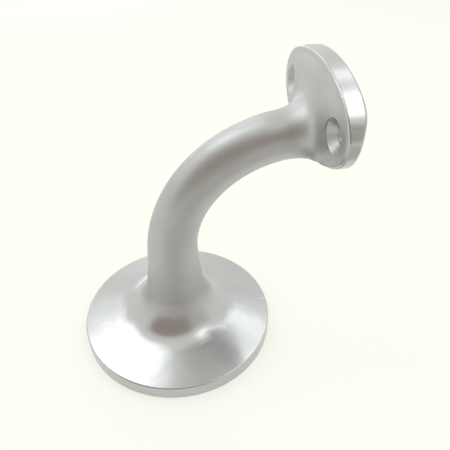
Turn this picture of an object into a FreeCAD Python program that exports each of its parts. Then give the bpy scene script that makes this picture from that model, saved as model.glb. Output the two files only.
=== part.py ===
import FreeCAD, Part

import math
import os

from FreeCAD import Vector

# Handrail bracket, cast in one piece: a round rose that sits on the wall, an arm
# that rises from it and bends through a right angle, and a saddle that carries
# the rail. The origin is the centre of the rose's back face. +Z leads away from
# the wall, +X is the way the arm bends (up on the wall), and the rail lies along Y.

# Rose: an upright rim with a shallow conical face
ROSE_RADIUS = 31.5
RIM_HEIGHT = 4.7
RIM_TOP_EDGE = 0.5
RIM_BACK_EDGE = 0.3
FACE_ANGLE = 13.0

# Neck: the hollow curve that leads from the rose's face into the arm
NECK_RADIUS = 9.6
NECK_HEIGHT = 17.7
NECK_FOOT_RADIUS = 19.5
NECK_UPPER_PULL = 5.8
NECK_LOWER_PULL = 5.1

# Arm: a round bar that slims away from the neck and bends once
ARM_RADIUS = 7.0
ARM_TAPER = 15.0
BEND_START = 32.8
BEND_RADIUS = 37.7
REACH_PAST_BEND = 3.3

# Saddle: an oval plate, longer along the rail, hollowed across its front for a round rail,
# whose axis lies a drop nearer the wall than the oval's middle. Rounded shoulders lead
# from the hollow to the flat of the front.
SADDLE_LENGTH = 50.8
SADDLE_WIDTH = 26.8
SADDLE_RISE = 8.0
SADDLE_THICKNESS = 5.4
SEAT_WALL = 3.1
SEAT_RADIUS = 25.0
SEAT_DROP = 4.0
SEAT_SHOULDER = 12.0
SADDLE_FRONT_EDGE = 0.8
SADDLE_BACK_EDGE = 0.5

# Flare: the arm opens in a hollow curve, then runs out along the saddle's sloping back
FLARE_RADIUS = 7.0
WING_SLOPE = 8.0

# Rail screws: two countersunk holes, entered from the saddle's back
SCREW_SPACING = 35.0
SCREW_HOLE_RADIUS = 2.5
SCREW_HEAD_RADIUS = 4.5
SCREW_HEAD_SINK = 0.3
SCREW_POCKET = 6.0
SCREW_HEAD_ANGLE = 90.0

# Wall fixing: one blind tapped hole on the rose's axis
THREAD_RADIUS = 3.4
THREAD_DEPTH = 20.0
DRILL_POINT_ANGLE = 118.0

# How many cross-sections shape the bar on its straight, in its bend and in its flare,
# and the rounding at the saddle's back
STRAIGHT_SECTIONS = 5
BEND_SECTIONS = 9
FLARE_SECTIONS = 7
WING_SECTIONS = 3
EDGE_SECTIONS = 4

BEND_LENGTH = BEND_RADIUS * math.pi / 2
SADDLE_BACK = BEND_RADIUS + REACH_PAST_BEND
RUN_AT_SADDLE = BEND_START + BEND_LENGTH + REACH_PAST_BEND
ARM_HEIGHT = BEND_START + BEND_RADIUS
SADDLE_HEIGHT = ARM_HEIGHT + SADDLE_RISE
ALONG_RAIL = Vector(0, 1, 0)
AWAY_FROM_WALL = Vector(0, 0, 1)
TO_RAIL = Vector(1, 0, 0)


def arm_radius(run):
    """Radius of the bar after a length of run along its centre line."""
    extra = NECK_RADIUS - ARM_RADIUS
    return ARM_RADIUS + extra * math.exp((NECK_HEIGHT - run) / ARM_TAPER)


def centre_line(run):
    """Point and direction on the bar's centre line: straight, bend, straight."""
    if run <= BEND_START:
        return Vector(0, 0, run), AWAY_FROM_WALL
    if run <= BEND_START + BEND_LENGTH:
        turn = (run - BEND_START) / BEND_RADIUS
        x = BEND_RADIUS * (1 - math.cos(turn))
        z = BEND_START + BEND_RADIUS * math.sin(turn)
        return Vector(x, 0, z), Vector(math.sin(turn), 0, math.cos(turn))
    past = run - BEND_START - BEND_LENGTH
    return Vector(BEND_RADIUS + past, 0, ARM_HEIGHT), TO_RAIL


def flare_profile():
    """Steps of the flare as pairs: distance behind the saddle's back, and spread, 0 to 1.

    In the plane of the saddle's length the profile is an arc that starts along the
    bar and turns to the wing's slope, then a straight line out to the saddle's end.
    """
    slope = math.radians(WING_SLOPE)
    spread = SADDLE_LENGTH / 2 - arm_radius(RUN_AT_SADDLE)
    arc_spread = FLARE_RADIUS * (1 - math.sin(slope))
    wing_depth = (spread - arc_spread) * math.tan(slope)
    steps = []
    for step in range(FLARE_SECTIONS):
        turn = (math.pi / 2 - slope) * step / (FLARE_SECTIONS - 1)
        behind = wing_depth + FLARE_RADIUS * (math.cos(slope) - math.sin(turn))
        steps.append((behind, FLARE_RADIUS * (1 - math.cos(turn)) / spread))
    for step in range(1, WING_SECTIONS + 1):
        left = 1 - step / WING_SECTIONS
        steps.append((wing_depth * left, 1 - left * (spread - arc_spread) / spread))
    return steps


def oval(centre, direction, half_length, half_width):
    """Oval wire square to direction, with its half_length along the rail."""
    upright = direction.cross(ALONG_RAIL)
    start = centre + ALONG_RAIL * half_length
    side = centre + upright * half_width * (1 - 1e-9)
    return Part.Wire([Part.Ellipse(start, side, centre).toShape()])


def bar_section(run):
    """Round section of the bar."""
    centre, direction = centre_line(run)
    radius = arm_radius(run)
    return oval(centre, direction, radius, radius)


def flare_section(behind, spread):
    """Oval section of the flare, which widens and climbs to the saddle's middle."""
    run = RUN_AT_SADDLE - behind
    radius = arm_radius(run)
    half_length = radius + (SADDLE_LENGTH / 2 - SADDLE_BACK_EDGE - radius) * spread
    half_width = radius + (SADDLE_WIDTH / 2 - SADDLE_BACK_EDGE - radius) * spread
    centre, direction = centre_line(run)
    outward = direction.cross(ALONG_RAIL)
    return oval(centre + outward * SADDLE_RISE * spread, direction, half_length, half_width)


def rose():
    """Rim, conical face and neck, turned about the rose's axis."""
    slope = math.tan(math.radians(FACE_ANGLE))
    rim_top = Vector(ROSE_RADIUS, 0, RIM_HEIGHT)
    foot = Vector(NECK_FOOT_RADIUS, 0, RIM_HEIGHT + (ROSE_RADIUS - NECK_FOOT_RADIUS) * slope)
    neck_top = Vector(NECK_RADIUS, 0, NECK_HEIGHT)
    down_neck = Vector((NECK_RADIUS - ARM_RADIUS) / ARM_TAPER, 0, -1).normalize()
    up_face = Vector(-1, 0, slope).normalize()
    neck = Part.BezierCurve()
    neck.setPoles([
        neck_top,
        neck_top + down_neck * NECK_UPPER_PULL,
        foot + up_face * NECK_LOWER_PULL,
        foot,
    ])
    middle = Vector(0, 0, 0)
    back_edge = Vector(ROSE_RADIUS, 0, 0)
    top = Vector(0, 0, NECK_HEIGHT)
    outline = Part.Wire([
        Part.makeLine(middle, back_edge),
        Part.makeLine(back_edge, rim_top),
        Part.makeLine(rim_top, foot),
        neck.toShape(),
        Part.makeLine(neck_top, top),
        Part.makeLine(top, middle),
    ])
    solid = Part.Face(outline).revolve(middle, AWAY_FROM_WALL, 360)
    solid = round_edges(solid, lambda edge: is_rim_edge(edge, RIM_HEIGHT), RIM_TOP_EDGE)
    return round_edges(solid, lambda edge: is_rim_edge(edge, 0), RIM_BACK_EDGE)


def is_rim_edge(edge, height):
    """True for the rose's full-width circle at a height."""
    box = edge.BoundBox
    flat = abs(box.ZMin - height) < 1e-4 and abs(box.ZMax - height) < 1e-4
    return flat and abs(box.XLength - 2 * ROSE_RADIUS) < 1e-3


def round_edges(solid, wanted, radius):
    """Round each edge of the solid that is wanted."""
    edges = [edge for edge in solid.Edges if wanted(edge)]
    return solid.makeFillet(radius, edges)


def bar():
    """The arm from the neck's top to the saddle's back, through all its sections."""
    flare = flare_profile()
    plain_bend = RUN_AT_SADDLE - flare[0][0] - BEND_START
    sections = []
    for step in range(STRAIGHT_SECTIONS):
        share = step / STRAIGHT_SECTIONS
        sections.append(bar_section(NECK_HEIGHT + (BEND_START - NECK_HEIGHT) * share))
    for step in range(BEND_SECTIONS):
        sections.append(bar_section(BEND_START + plain_bend * step / BEND_SECTIONS))
    for behind, spread in flare:
        sections.append(flare_section(behind, spread))
    return Part.makeLoft(sections, True, False)


def saddle_back_edge():
    """Rounding that leads from the end of the flare to the saddle's oval wall."""
    sections = []
    for step in range(EDGE_SECTIONS):
        turn = math.pi / 2 * step / (EDGE_SECTIONS - 1)
        inset = SADDLE_BACK_EDGE * (1 - math.sin(turn))
        depth = SADDLE_BACK_EDGE * (1 - math.cos(turn))
        centre = Vector(SADDLE_BACK + depth, 0, SADDLE_HEIGHT)
        sections.append(oval(centre, TO_RAIL, SADDLE_LENGTH / 2 - inset, SADDLE_WIDTH / 2 - inset))
    return Part.makeLoft(sections, True, False)


def seat():
    """What the rail takes from the plate: a round hollow between two rounded shoulders.

    Each shoulder's arc touches the rail's circle and the flat of the saddle's front.
    """
    front = SADDLE_BACK + SADDLE_THICKNESS
    rail = Vector(SADDLE_BACK + SEAT_WALL + SEAT_RADIUS, -SADDLE_LENGTH, SADDLE_HEIGHT - SEAT_DROP)
    reach = SEAT_RADIUS + SEAT_SHOULDER
    across = rail.x - (front - SEAT_SHOULDER)
    height = math.sqrt(reach**2 - across**2)
    ends = []
    arcs = []
    for side in (1, -1):
        shoulder = rail + Vector(-across, 0, side * height)
        end = Vector(front, rail.y, shoulder.z)
        touch = rail + (shoulder - rail) * SEAT_RADIUS / reach
        way = (end - shoulder).normalize() + (touch - shoulder).normalize()
        middle = shoulder + way.normalize() * SEAT_SHOULDER
        ends.append((end, touch))
        arcs.append(Part.Arc(end, middle, touch).toShape())
    bottom = rail - TO_RAIL * SEAT_RADIUS
    hollow = Part.Arc(ends[0][1], bottom, ends[1][1]).toShape()
    clear = TO_RAIL * SEAT_RADIUS
    outside = Part.makePolygon([ends[1][0], ends[1][0] + clear, ends[0][0] + clear, ends[0][0]])
    outline = Part.Wire([arcs[0], hollow, arcs[1], *outside.Edges])
    return Part.Face(outline).extrude(ALONG_RAIL * 2 * SADDLE_LENGTH)


def saddle():
    """Oval plate with the rail's seat hollowed across its front."""
    middle = Vector(SADDLE_BACK + SADDLE_BACK_EDGE, 0, SADDLE_HEIGHT)
    outline = oval(middle, TO_RAIL, SADDLE_LENGTH / 2, SADDLE_WIDTH / 2)
    plate = Part.Face(outline).extrude(TO_RAIL * (SADDLE_THICKNESS - SADDLE_BACK_EDGE))
    plate = round_edges(plate.cut(seat()), is_front_edge, SADDLE_FRONT_EDGE)
    return plate.fuse(saddle_back_edge())


def is_front_edge(edge):
    """True for an edge of the plate that runs round the oval wall at its front."""
    if edge.BoundBox.XMin < SADDLE_BACK + SADDLE_BACK_EDGE + 1e-3:
        return False
    middle = edge.valueAt((edge.FirstParameter + edge.LastParameter) / 2)
    along = middle.y / (SADDLE_LENGTH / 2)
    across = (middle.z - SADDLE_HEIGHT) / (SADDLE_WIDTH / 2)
    return abs(math.hypot(along, across) - 1) < 1e-3


def screw_hole(side):
    """Countersunk hole through the saddle: the head's pocket, its cone and the shank's hole."""
    offset = SCREW_SPACING / 2
    wing_back = (SADDLE_LENGTH / 2 - offset) * math.tan(math.radians(WING_SLOPE))
    half_angle = math.radians(SCREW_HEAD_ANGLE / 2)
    cone_depth = (SCREW_HEAD_RADIUS - SCREW_HOLE_RADIUS) / math.tan(half_angle)
    head = Vector(SADDLE_BACK - wing_back + SCREW_HEAD_SINK, side * offset, SADDLE_HEIGHT)
    pocket = Part.makeCylinder(SCREW_HEAD_RADIUS, SCREW_POCKET, head, TO_RAIL * -1)
    cone = Part.makeCone(SCREW_HEAD_RADIUS, SCREW_HOLE_RADIUS, cone_depth, head, TO_RAIL)
    shank = Part.makeCylinder(SCREW_HOLE_RADIUS, 2 * SADDLE_THICKNESS, head, TO_RAIL)
    return pocket.fuse([cone, shank])


def wall_thread():
    """Blind tapped hole on the rose's axis, with a drilled end."""
    back = Vector(0, 0, 0)
    bore = Part.makeCylinder(THREAD_RADIUS, THREAD_DEPTH, back, AWAY_FROM_WALL)
    point_depth = THREAD_RADIUS / math.tan(math.radians(DRILL_POINT_ANGLE / 2))
    end = Vector(0, 0, THREAD_DEPTH)
    point = Part.makeCone(THREAD_RADIUS, 0, point_depth, end, AWAY_FROM_WALL)
    return bore.fuse(point)


def bracket():
    """The whole casting, with its edges rounded and its holes cut."""
    body = rose().fuse([bar(), saddle()])
    return body.cut([screw_hole(-1), screw_hole(1), wall_thread()])


def main():
    os.makedirs("parts", exist_ok=True)
    body = bracket()
    body.exportStep("parts/bracket_body.step")
    box = body.BoundBox
    print("solids", len(body.Solids), "valid", body.isValid(), "volume", round(body.Volume, 1))
    print("x", round(box.XMin, 2), round(box.XMax, 2), "y", round(box.YMin, 2), round(box.YMax, 2))
    print("z", round(box.ZMin, 2), round(box.ZMax, 2))


main()
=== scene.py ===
import math

import bpy
from bpy.props import FloatProperty, FloatVectorProperty, PointerProperty
from mathutils import Matrix, Vector


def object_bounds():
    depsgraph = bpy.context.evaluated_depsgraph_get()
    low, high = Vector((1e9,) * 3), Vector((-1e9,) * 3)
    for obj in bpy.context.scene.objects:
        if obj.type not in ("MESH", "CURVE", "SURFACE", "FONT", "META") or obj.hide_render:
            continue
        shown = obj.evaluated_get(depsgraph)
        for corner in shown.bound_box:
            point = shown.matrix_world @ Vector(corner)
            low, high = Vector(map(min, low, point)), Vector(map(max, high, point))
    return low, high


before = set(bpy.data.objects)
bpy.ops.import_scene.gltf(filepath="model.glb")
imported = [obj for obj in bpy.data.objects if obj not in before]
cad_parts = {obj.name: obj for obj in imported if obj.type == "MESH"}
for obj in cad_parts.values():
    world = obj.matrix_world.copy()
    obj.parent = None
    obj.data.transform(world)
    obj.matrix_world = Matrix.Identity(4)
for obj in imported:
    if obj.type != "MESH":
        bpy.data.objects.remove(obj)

bl_info = {
    "name": "Handrail bracket",
    "version": (1, 0, 0),
    "blender": (4, 5, 0),
    "location": "View3D > Sidebar > Handrail bracket",
    "description": "Finishes a cast handrail bracket in satin metal and sets it on a studio floor",
    "category": "Object",
}

cad_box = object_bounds()
CASTING = "bracket_body"

# Where the finish follows the casting's shape, in metres.
# The neck's two heights are where turning ends and the cast arm begins. The saddle's height
# is measured from the wall to its middle, and its start from the wall hole's axis to its rim.
NECK_FOOT = 0.0090
NECK_TOP = 0.0150
BEND_START = 0.0328
BEND_RADIUS = 0.0377
SADDLE_LENGTH = 0.0508
SADDLE_WIDTH = 0.0268
SADDLE_HEIGHT = 0.0785
SADDLE_START = 0.0395
SADDLE_BLEND = 0.001
THREAD_RADIUS = 0.0034
THREAD_DEPTH = 0.0185
THREAD_PITCH = 0.00125

# Shares of the saddle's oval at which its linished rim begins, and at which it is full.
RIM_START = 0.96
RIM_FULL = 0.98

# How fast a polishing line changes along its length, as a share of how fast it does across it.
ARM_LINE_CHANGE = 0.03
CIRCLE_CHANGE = 0.02

# Heights of the surface's relief, in metres; a pit is cut in.
WAVE_HEIGHT = 0.00008
BLASTED_GRAIN_HEIGHT = 0.000007
SMOOTH_GRAIN_HEIGHT = 0.000001
LINE_HEIGHT = 0.000001
PIT_HEIGHT = -0.00006

# How much each sign of use changes the spread of a reflection, from its least to its most.
SMUDGE_SPREAD = 0.12
LINE_SPREAD = 0.03
SCRATCH_SPREAD = 0.15

# Width of a lightened edge in metres, how far its normal turns where the lightening is full
# (1 less the cosine), and how far its colour goes to the light metal on the cast and on the turned
# parts. The lightened edge is partly worn metal and partly a painted highlight.
EDGE_WIDTH = 0.0007
FULL_EDGE_TURN = 0.10
CAST_EDGE_WEAR_AND_HIGHLIGHT = 0.20
TURNED_EDGE_WEAR_AND_HIGHLIGHT = 0.60
# Colour of worn metal in scratches; on sharp edges it is also a painted highlight.
WORN_AND_HIGHLIGHT_METAL = (0.90, 0.91, 0.92)

# How much lighter or darker handling leaves the metal, as a share of its colour.
SMUDGE_TINT = 0.10

# Each kind of mark: length, width and depth of its cell, turn about the upright axis,
# size of the mark in its cell, and the share of the cells that hold one.
LONG_SCRATCHES = ((0.030, 0.0012, 0.020), 0.25, 0.09, 0.20)
SLANTED_SCRATCHES = ((0.0015, 0.026, 0.020), 0.9, 0.07, 0.08)
PITS = ((0.004, 0.004, 0.004), 0.0, 0.06, 0.30)

# The camera's lens and film, in millimetres, and its place beside the line through the rose.
CAMERA_LENS = 40
CAMERA_FILM = 36
CAMERA_SHIFT = 0.0011
CAMERA_RIGHT = 0.01622
CAMERA_UP = 0.03339

# The floor's width and its gap under the rose, in metres, and the share of its own colour
# that the camera sees without shading.
FLOOR_SIZE = 6.0
FLOOR_GAP = 0.0001
FLOOR_GLOW = 0.65

# Each lamp: name, azimuth, elevation, width, height, radiance.
LAMP_DISTANCE = 0.45
LAMPS = (
    ("window", -50, 57, 0.175, 0.31, 1.4),
    ("window_wall", -32, 34, 0.15, 0.14, 0.5),
    ("back", -5, 33, 0.10, 0.10, 1.6),
    ("back_low", -6, 3, 0.26, 0.08, 1.0),
    ("side", 46, 46, 0.11, 0.09, 1.5),
    ("high_right", 92, 61, 0.28, 0.12, 1.9),
)

# Each flag: name, azimuth, elevation, distance, width, height, colour.
FLAGS = (
    ("front_flag", -157, 31, 0.5, 1.12, 0.62, (0.48, 0.395, 0.375)),
    ("right_flag", 128, 20, 0.5, 0.42, 0.36, (0.76, 0.76, 0.75)),
    ("ceiling_flag", 38, 74, 0.44, 0.18, 0.20, (0.62, 0.62, 0.62)),
)

# The card that lies on the floor: place, width, length, colour.
FLOOR_FLAG = ((0.06, -0.25, 0.001), 0.28, 0.41, (0.72, 0.68, 0.66))


class SatinFinish(bpy.types.PropertyGroup):
    """Colour and surface of the cast metal."""

    colour: FloatVectorProperty(
        name="Metal colour",
        description="Colour of the satin metal",
        subtype="COLOR",
        default=(0.51, 0.525, 0.54),
    )
    roughness: FloatProperty(
        name="Roughness",
        description="How far the blasted arm and saddle spread a reflection",
        default=0.44,
        min=0.0,
        max=1.0,
    )
    turning: FloatProperty(
        name="Turning",
        description="How much less the turned rose spreads a reflection",
        default=0.20,
        min=0.0,
        max=1.0,
    )
    rim_polish: FloatProperty(
        name="Rim polish",
        description="How much less the saddle's rim spreads a reflection",
        default=0.18,
        min=0.0,
        max=1.0,
    )
    grain_size: FloatProperty(
        name="Grain size",
        description="Width of one speck of the blasted grain",
        default=0.00022,
        unit="LENGTH",
    )
    line_width: FloatProperty(
        name="Polishing line width",
        description="Width of the fine lines that turning and polishing leave",
        default=0.0004,
        unit="LENGTH",
    )
    wave_size: FloatProperty(
        name="Casting wave size",
        description="Width of the slow waves that a casting keeps under its polish",
        default=0.007,
        unit="LENGTH",
    )
    smudge_size: FloatProperty(
        name="Smudge size",
        description="Width of the patches that handling has dulled or polished",
        default=0.012,
        unit="LENGTH",
    )


class StudioStage(bpy.types.PropertyGroup):
    """Floor, lamps, cards and camera."""

    paper: FloatVectorProperty(
        name="Paper colour",
        description="Colour of the floor and the backdrop",
        subtype="COLOR",
        default=(1.0, 1.0, 0.93),
    )
    room: FloatProperty(
        name="Room light",
        description="Strength of the light that the studio walls give the floor",
        default=0.84,
        min=0.0,
    )
    brightness: FloatProperty(
        name="Lamp brightness",
        description="Brightness of every lamp, as a share of its usual value",
        default=1.0,
        min=0.0,
    )
    azimuth: FloatProperty(
        name="Camera azimuth",
        description="Turn of the camera about the upright axis, from straight in front",
        default=math.radians(-10.8),
        subtype="ANGLE",
    )
    elevation: FloatProperty(
        name="Camera elevation",
        description="Angle at which the camera looks down",
        default=math.radians(39.1),
        subtype="ANGLE",
    )
    roll: FloatProperty(
        name="Camera roll",
        description="Turn of the camera about its own line of sight",
        default=math.radians(-0.2),
        subtype="ANGLE",
    )
    distance: FloatProperty(
        name="Camera distance",
        description="Depth of the rose's centre in front of the camera",
        default=0.1782,
        unit="LENGTH",
    )


def node(tree, kind, **values):
    """A new shader node with its properties set."""
    made = tree.nodes.new(kind)
    for name, value in values.items():
        setattr(made, name, value)
    return made


def feed(tree, target, socket, source):
    """Sets a node's input to a number or a colour, or joins it to another node's output."""
    if isinstance(source, bpy.types.NodeSocket):
        tree.links.new(source, target.inputs[socket])
    else:
        target.inputs[socket].default_value = source


def math_node(tree, operation, first, second=0.0, third=0.0, clamp=False):
    """The result of one sum on two or three values."""
    made = node(tree, "ShaderNodeMath", operation=operation, use_clamp=clamp)
    for place, source in enumerate((first, second, third)):
        feed(tree, made, place, source)
    return made.outputs[0]


def noise(tree, vector, scale, detail=2.0):
    """Value of a noise with a number of waves to the metre."""
    made = node(tree, "ShaderNodeTexNoise")
    feed(tree, made, "Vector", vector)
    feed(tree, made, "Scale", scale)
    feed(tree, made, "Detail", detail)
    return made.outputs["Fac"]


def new_group(name, inputs, outputs):
    """An empty node group with named value sockets, and its two end nodes."""
    tree = bpy.data.node_groups.new(name, "ShaderNodeTree")
    for title, kind in inputs:
        tree.interface.new_socket(name=title, in_out="INPUT", socket_type=kind)
    for title, kind in outputs:
        tree.interface.new_socket(name=title, in_out="OUTPUT", socket_type=kind)
    return tree, tree.nodes.new("NodeGroupInput"), tree.nodes.new("NodeGroupOutput")


def smooth_step(tree, value, low, high):
    """Rises smoothly from 0 to 1 as the value goes from low to high."""
    made = node(tree, "ShaderNodeMapRange", interpolation_type="SMOOTHSTEP")
    for socket, source in (("Value", value), ("From Min", low), ("From Max", high)):
        feed(tree, made, socket, source)
    return made.outputs["Result"]


def length_of(tree, first, second):
    """Length of a flat vector: the root of the sum of two squares."""
    square = math_node(tree, "MULTIPLY", second, second)
    return math_node(tree, "SQRT", math_node(tree, "MULTIPLY_ADD", first, first, square))


def vector_of(tree, x, y, z):
    """A vector from three values."""
    made = node(tree, "ShaderNodeCombineXYZ")
    for place, source in enumerate((x, y, z)):
        feed(tree, made, place, source)
    return made.outputs[0]


def parts_of(tree, vector):
    """The x, y and z of a vector."""
    made = node(tree, "ShaderNodeSeparateXYZ")
    feed(tree, made, "Vector", vector)
    return made.outputs


def polish_group():
    """Lines left by finishing, and the places that were turned or linished.

    On the turned rose a line keeps its radius from the rose's axis, so it is a circle. On the
    arm it keeps its distance from the bend's axis, and its place across the arm. The saddle's
    rim is the part that lies outside nearly the whole of its oval.
    """
    tree, start, end = new_group(
        "polish_lines",
        (("Vector", "NodeSocketVector"), ("Line Width", "NodeSocketFloat")),
        tuple((title, "NodeSocketFloat") for title in ("Lines", "Turned", "Rim")),
    )
    x, y, z = parts_of(tree, start.outputs["Vector"])
    density = math_node(tree, "DIVIDE", 1.0, start.outputs["Line Width"])
    short = math_node(tree, "MINIMUM", math_node(tree, "SUBTRACT", x, BEND_RADIUS), 0.0)
    above = math_node(tree, "MAXIMUM", math_node(tree, "SUBTRACT", z, BEND_START), 0.0)
    along = math_node(tree, "MULTIPLY", math_node(tree, "ADD", x, z), ARM_LINE_CHANGE)
    arm = vector_of(tree, length_of(tree, short, above), y, along)
    radius = length_of(tree, x, y)
    circles = vector_of(tree, radius, z, math_node(tree, "MULTIPLY", x, CIRCLE_CHANGE))
    raised = smooth_step(tree, z, NECK_FOOT, NECK_TOP)
    turned = math_node(tree, "SUBTRACT", 1.0, raised)
    on_arm = math_node(tree, "MULTIPLY", noise(tree, arm, density, 2.0), raised)
    lines = math_node(tree, "MULTIPLY_ADD", noise(tree, circles, density, 2.0), turned, on_arm)
    out_along = math_node(tree, "DIVIDE", y, SADDLE_LENGTH / 2)
    above_middle = math_node(tree, "SUBTRACT", z, SADDLE_HEIGHT)
    out_across = math_node(tree, "DIVIDE", above_middle, SADDLE_WIDTH / 2)
    outer = smooth_step(tree, length_of(tree, out_along, out_across), RIM_START, RIM_FULL)
    front = smooth_step(tree, x, SADDLE_START, SADDLE_START + SADDLE_BLEND)
    feed(tree, end, "Lines", lines)
    feed(tree, end, "Turned", turned)
    feed(tree, end, "Rim", math_node(tree, "MULTIPLY", outer, front))
    return tree


def marks(tree, vector, stretch, turn, size, share):
    """Small spots in stretched cells: 1 in a spot and 0 outside, in a share of the cells."""
    place = node(tree, "ShaderNodeMapping", vector_type="TEXTURE")
    feed(tree, place, "Vector", vector)
    feed(tree, place, "Rotation", (0.0, 0.0, turn))
    feed(tree, place, "Scale", stretch)
    cells = node(tree, "ShaderNodeTexVoronoi")
    feed(tree, cells, "Vector", place.outputs["Vector"])
    feed(tree, cells, "Scale", 1.0)
    spot = math_node(tree, "LESS_THAN", cells.outputs["Distance"], size)
    pick = math_node(tree, "LESS_THAN", parts_of(tree, cells.outputs["Color"])[0], share)
    return math_node(tree, "MULTIPLY", spot, pick)


def wear_group():
    """Signs of handling: short light scratches that lie in two directions, and small pits."""
    tree, start, end = new_group(
        "handling_wear",
        (("Vector", "NodeSocketVector"),),
        (("Scratches", "NodeSocketFloat"), ("Pits", "NodeSocketFloat")),
    )
    vector = start.outputs["Vector"]
    across = marks(tree, vector, *LONG_SCRATCHES)
    aslant = marks(tree, vector, *SLANTED_SCRATCHES)
    feed(tree, end, "Scratches", math_node(tree, "MAXIMUM", across, aslant))
    feed(tree, end, "Pits", marks(tree, vector, *PITS))
    return tree


def thread_group():
    """Height of the wall hole's thread: a zigzag that climbs one pitch in each turn."""
    tree, start, end = new_group(
        "wall_thread",
        (("Vector", "NodeSocketVector"), ("Pitch", "NodeSocketFloat")),
        (("Height", "NodeSocketFloat"),),
    )
    x, y, z = parts_of(tree, start.outputs["Vector"])
    turns = math_node(tree, "DIVIDE", math_node(tree, "ARCTAN2", y, x), 2 * math.pi)
    phase = math_node(tree, "ADD", math_node(tree, "DIVIDE", z, start.outputs["Pitch"]), turns)
    zigzag = math_node(tree, "PINGPONG", math_node(tree, "ADD", phase, 1.0), 0.5)
    inside = math_node(tree, "LESS_THAN", length_of(tree, x, y), THREAD_RADIUS * 1.02)
    cut = math_node(tree, "MULTIPLY", inside, math_node(tree, "LESS_THAN", z, THREAD_DEPTH))
    height = math_node(tree, "MULTIPLY", zigzag, start.outputs["Pitch"])
    feed(tree, end, "Height", math_node(tree, "MULTIPLY", height, cut))
    return tree


def edge_mask(tree, radius):
    """1 on a sharp edge and 0 on the open faces, from how far a rounded normal turns away."""
    rounded = node(tree, "ShaderNodeBevel", samples=4)
    feed(tree, rounded, "Radius", radius)
    plain = node(tree, "ShaderNodeNewGeometry")
    both = node(tree, "ShaderNodeVectorMath", operation="DOT_PRODUCT")
    feed(tree, both, 0, rounded.outputs["Normal"])
    feed(tree, both, 1, plain.outputs["Normal"])
    away = math_node(tree, "SUBTRACT", 1.0, both.outputs["Value"])
    return smooth_step(tree, away, 0.0, FULL_EDGE_TURN)


def group_node(tree, group, **inputs):
    """A use of a node group, with its inputs set by name."""
    made = node(tree, "ShaderNodeGroup", node_tree=group)
    for name, source in inputs.items():
        feed(tree, made, name.replace("_", " "), source)
    return made.outputs


def mix_colour(tree, share, first, second):
    """A colour between two others, by a share that goes from 0 to 1."""
    made = node(tree, "ShaderNodeMix", data_type="RGBA")
    for socket, source in (("Factor", share), ("A", first), ("B", second)):
        feed(tree, made, socket, source)
    return made.outputs["Result"]


def satin_colour(tree, finish, smudge, scratches, turned):
    """Colour: lighter or darker where it was handled, worn light in scratches, and lighter on sharp
    edges, partly as edge wear and partly as a painted highlight.
    """
    lighter = (*((1 + SMUDGE_TINT) * part for part in finish.colour), 1.0)
    darker = (*((1 - SMUDGE_TINT) * part for part in finish.colour), 1.0)
    # Sharp edges are painted lighter: partly worn metal, partly a painted highlight along the edge.
    edge_wear_and_highlight = math_node(tree, "MULTIPLY_ADD", turned, TURNED_EDGE_WEAR_AND_HIGHLIGHT - CAST_EDGE_WEAR_AND_HIGHLIGHT, CAST_EDGE_WEAR_AND_HIGHLIGHT)
    worn_and_highlit_edges = math_node(tree, "MULTIPLY", edge_mask(tree, EDGE_WIDTH), edge_wear_and_highlight)
    worn_and_highlit = math_node(tree, "ADD", worn_and_highlit_edges, scratches, clamp=True)
    return mix_colour(tree, worn_and_highlit, mix_colour(tree, smudge, lighter, darker), (*WORN_AND_HIGHLIGHT_METAL, 1.0))


def satin_spread(tree, finish, smudge, scratches, polish):
    """Roughness: that of the blasted metal, less on the turned rose and the linished rim."""
    least = finish.roughness - (SMUDGE_SPREAD + LINE_SPREAD) / 2
    spread = math_node(tree, "MULTIPLY_ADD", smudge, SMUDGE_SPREAD, least)
    for mask, change in (
        (polish["Lines"], LINE_SPREAD),
        (polish["Turned"], -finish.turning),
        (polish["Rim"], -finish.rim_polish),
        (scratches, SCRATCH_SPREAD),
    ):
        spread = math_node(tree, "MULTIPLY_ADD", mask, change, spread)
    return spread


def satin_relief(tree, finish, place, polish, pits):
    """Height in metres: cast waves, a grain that is lower on smooth metal, lines and pits."""
    smooth = math_node(tree, "ADD", polish["Turned"], polish["Rim"])
    finer = SMOOTH_GRAIN_HEIGHT - BLASTED_GRAIN_HEIGHT
    grain_height = math_node(tree, "MULTIPLY_ADD", smooth, finer, BLASTED_GRAIN_HEIGHT)
    waves = noise(tree, place, 1 / finish.wave_size, 1.0)
    height = math_node(tree, "MULTIPLY", waves, WAVE_HEIGHT)
    for mask, amount in (
        (noise(tree, place, 1 / finish.grain_size, 2.0), grain_height),
        (polish["Lines"], LINE_HEIGHT),
        (pits, PIT_HEIGHT),
    ):
        height = math_node(tree, "MULTIPLY_ADD", mask, amount, height)
    return height


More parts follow.
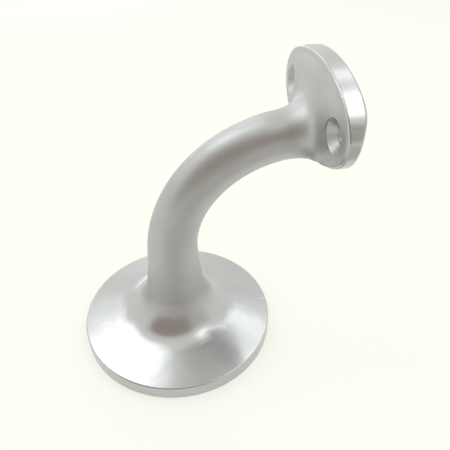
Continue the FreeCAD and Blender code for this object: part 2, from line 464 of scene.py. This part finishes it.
def satin_metal(finish):
    """Satin metal: cast waves, grain, polishing lines, smudges, wear, a painted edge highlight and
    the wall thread.
    """
    material = bpy.data.materials.new("satin_metal")
    material.use_nodes = True
    tree = material.node_tree
    shader = tree.nodes["Principled BSDF"]
    place = node(tree, "ShaderNodeTexCoord").outputs["Object"]
    polish = group_node(tree, polish_group(), Vector=place, Line_Width=finish.line_width)
    wear = group_node(tree, wear_group(), Vector=place)
    thread = group_node(tree, thread_group(), Vector=place, Pitch=THREAD_PITCH)
    smudge = noise(tree, place, 1 / finish.smudge_size, 4.0)
    scratches = math_node(tree, "MULTIPLY", wear["Scratches"], polish["Turned"])

    colour = satin_colour(tree, finish, smudge, scratches, polish["Turned"])
    relief = satin_relief(tree, finish, place, polish, wear["Pits"])
    bump = node(tree, "ShaderNodeBump")
    feed(tree, bump, "Height", math_node(tree, "ADD", relief, thread["Height"]))
    feed(tree, bump, "Strength", 1.0)
    feed(tree, bump, "Distance", 1.0)
    feed(tree, shader, "Metallic", 1.0)
    feed(tree, shader, "Base Color", colour)
    feed(tree, shader, "Roughness", satin_spread(tree, finish, smudge, scratches, polish))
    feed(tree, shader, "Normal", bump.outputs["Normal"])
    return material


class BRACKET_OT_casting(bpy.types.Operator):
    """Gives the casting its satin metal finish"""

    bl_idname = "bracket.casting"
    bl_label = "Finish the casting"

    def execute(self, context):
        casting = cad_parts[CASTING]
        casting.data.materials.clear()
        casting.data.materials.append(satin_metal(context.scene.satin_finish))
        return {"FINISHED"}


def seen_directly(tree):
    """1 for a ray from the camera, and for one that metal or glass sends on, otherwise 0."""
    path = node(tree, "ShaderNodeLightPath")
    mirrored = math_node(tree, "ADD", path.outputs["Is Camera Ray"], path.outputs["Is Glossy Ray"])
    return math_node(tree, "ADD", mirrored, path.outputs["Is Transmission Ray"], clamp=True)


def matt_material(name, colour, roughness):
    """Plain matt surface, with its nodes for what is added to it."""
    material = bpy.data.materials.new(name)
    material.use_nodes = True
    tree = material.node_tree
    shader = tree.nodes["Principled BSDF"]
    feed(tree, shader, "Base Color", (*colour, 1.0))
    feed(tree, shader, "Roughness", roughness)
    feed(tree, shader, "Specular IOR Level", 0.0)
    return material, tree, shader


def paper_material(colour):
    """Matt paper that the camera and the metal see mostly at its own colour, with a soft shadow."""
    material, tree, shader = matt_material("paper", colour, 0.95)
    glow = node(tree, "ShaderNodeEmission")
    feed(tree, glow, "Color", (*colour, 1.0))
    mix = node(tree, "ShaderNodeMixShader")
    feed(tree, mix, "Fac", math_node(tree, "MULTIPLY", seen_directly(tree), FLOOR_GLOW))
    tree.links.new(shader.outputs["BSDF"], mix.inputs[1])
    tree.links.new(glow.outputs["Emission"], mix.inputs[2])
    tree.links.new(mix.outputs["Shader"], tree.nodes["Material Output"].inputs["Surface"])
    return material


def around(middle, azimuth, elevation, distance):
    """Point at a distance from the middle; azimuth 0 is behind the bracket and 90 on its right."""
    turn, lift = math.radians(azimuth), math.radians(elevation)
    level = math.cos(lift)
    away = Vector((math.sin(turn) * level, math.cos(turn) * level, math.sin(lift)))
    return middle + distance * away


def flat_card(name, centre, facing, width, height, material):
    """A flat card on the stage, whose face looks along facing, as upright as that allows."""
    turn = Vector(facing).to_track_quat("Z", "Y").to_matrix()
    across = turn @ Vector((width / 2, 0, 0))
    up = turn @ Vector((0, height / 2, 0))
    middle = Vector(centre)
    signs = ((-1, -1), (1, -1), (1, 1), (-1, 1))
    corners = [tuple(middle + side * across + rise * up) for side, rise in signs]
    mesh = bpy.data.meshes.new(name)
    mesh.from_pydata(corners, [], [(0, 1, 2, 3)])
    mesh.materials.append(material)
    card = bpy.data.objects.new(name, mesh)
    bpy.context.scene.collection.objects.link(card)
    return card


def flag(name, centre, facing, width, height, colour):
    """A card that only the metal sees, and that the lamps shine through."""
    material, _, _ = matt_material(name, colour, 1.0)
    card = flat_card(name, centre, facing, width, height, material)
    card.visible_camera = False
    card.visible_diffuse = False
    card.visible_shadow = False


def lamp(name, middle, place, width, height, radiance):
    """Rectangular lamp at a place, aimed at the bracket's middle, as bright as its radiance."""
    data = bpy.data.lights.new(name, "AREA")
    data.shape = "RECTANGLE"
    data.size = width
    data.size_y = height
    data.energy = math.pi * width * height * radiance
    holder = bpy.data.objects.new(name, data)
    bpy.context.scene.collection.objects.link(holder)
    holder.location = place
    holder.rotation_euler = (middle - place).to_track_quat("-Z", "Y").to_euler()
    holder.visible_camera = False


def studio_world(room, paper):
    """Walls that light the floor evenly, and that the camera and the metal see as plain paper."""
    world = bpy.data.worlds.new("studio")
    world.use_nodes = True
    tree = world.node_tree
    walls = tree.nodes["Background"]
    feed(tree, walls, "Color", (*paper, 1.0))
    feed(tree, walls, "Strength", room)
    backdrop = node(tree, "ShaderNodeBackground")
    feed(tree, backdrop, "Color", (*paper, 1.0))
    mix = node(tree, "ShaderNodeMixShader")
    feed(tree, mix, "Fac", seen_directly(tree))
    tree.links.new(walls.outputs["Background"], mix.inputs[1])
    tree.links.new(backdrop.outputs["Background"], mix.inputs[2])
    tree.links.new(mix.outputs["Shader"], tree.nodes["World Output"].inputs["Surface"])
    return world


def aim_camera(stage):
    """Camera at the stage's angles, level with the rose's centre in depth and beside it."""
    azimuth, elevation = stage.azimuth, stage.elevation
    level = math.cos(elevation)
    back = Vector((math.sin(azimuth) * level, -math.cos(azimuth) * level, math.sin(elevation)))
    right = Vector((math.cos(azimuth), math.sin(azimuth), 0))
    up = back.cross(right)
    roll = Matrix.Rotation(stage.roll, 3, back)
    right, up = roll @ right, roll @ up
    data = bpy.data.cameras.new("camera")
    data.lens = CAMERA_LENS
    data.sensor_width = CAMERA_FILM
    data.shift_x = CAMERA_SHIFT
    data.clip_start = 0.005
    camera = bpy.data.objects.new("camera", data)
    bpy.context.scene.collection.objects.link(camera)
    camera.location = back * stage.distance + right * CAMERA_RIGHT + up * CAMERA_UP
    camera.rotation_euler = Matrix((right, up, back)).transposed().to_euler()
    bpy.context.scene.camera = camera


class BRACKET_OT_stage(bpy.types.Operator):
    """Adds the floor, the cards, the lamps and the camera"""

    bl_idname = "bracket.stage"
    bl_label = "Set the stage"

    def execute(self, context):
        stage = context.scene.studio_stage
        low, high = (Vector(corner) for corner in cad_box)
        middle = (low + high) / 2

        upwards = (0, 0, 1)
        paper = paper_material(stage.paper)
        flat_card("floor", (0, 0, -FLOOR_GAP), upwards, FLOOR_SIZE, FLOOR_SIZE, paper)
        for name, azimuth, elevation, width, height, radiance in LAMPS:
            place = around(middle, azimuth, elevation, LAMP_DISTANCE)
            lamp(name, middle, place, width, height, radiance * stage.brightness)
        for name, azimuth, elevation, distance, width, height, colour in FLAGS:
            place = around(middle, azimuth, elevation, distance)
            flag(name, place, middle - place, width, height, colour)
        place, width, length, colour = FLOOR_FLAG
        flag("floor_flag", place, upwards, width, length, colour)
        context.scene.world = studio_world(stage.room, stage.paper)
        aim_camera(stage)
        context.scene.view_settings.view_transform = "Standard"
        return {"FINISHED"}


class BRACKET_PT_panel(bpy.types.Panel):
    """Lists the bracket's steps"""

    bl_idname = "BRACKET_PT_panel"
    bl_label = "Handrail bracket"
    bl_space_type = "VIEW_3D"
    bl_region_type = "UI"
    bl_category = "Handrail bracket"

    def draw(self, context):
        for operator in OPERATORS:
            self.layout.operator(operator.bl_idname)


OPERATORS = (BRACKET_OT_casting, BRACKET_OT_stage)
CLASSES = (SatinFinish, StudioStage, *OPERATORS, BRACKET_PT_panel)


def register():
    """Adds the classes and their settings to Blender."""
    for cls in CLASSES:
        bpy.utils.register_class(cls)
    bpy.types.Scene.satin_finish = PointerProperty(type=SatinFinish)
    bpy.types.Scene.studio_stage = PointerProperty(type=StudioStage)


def unregister():
    """Takes the classes and their settings out of Blender."""
    del bpy.types.Scene.studio_stage
    del bpy.types.Scene.satin_finish
    for cls in reversed(CLASSES):
        bpy.utils.unregister_class(cls)


def main():
    """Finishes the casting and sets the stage."""
    register()
    bpy.ops.bracket.casting()
    bpy.ops.bracket.stage()


if __name__ == "__main__":
    main()
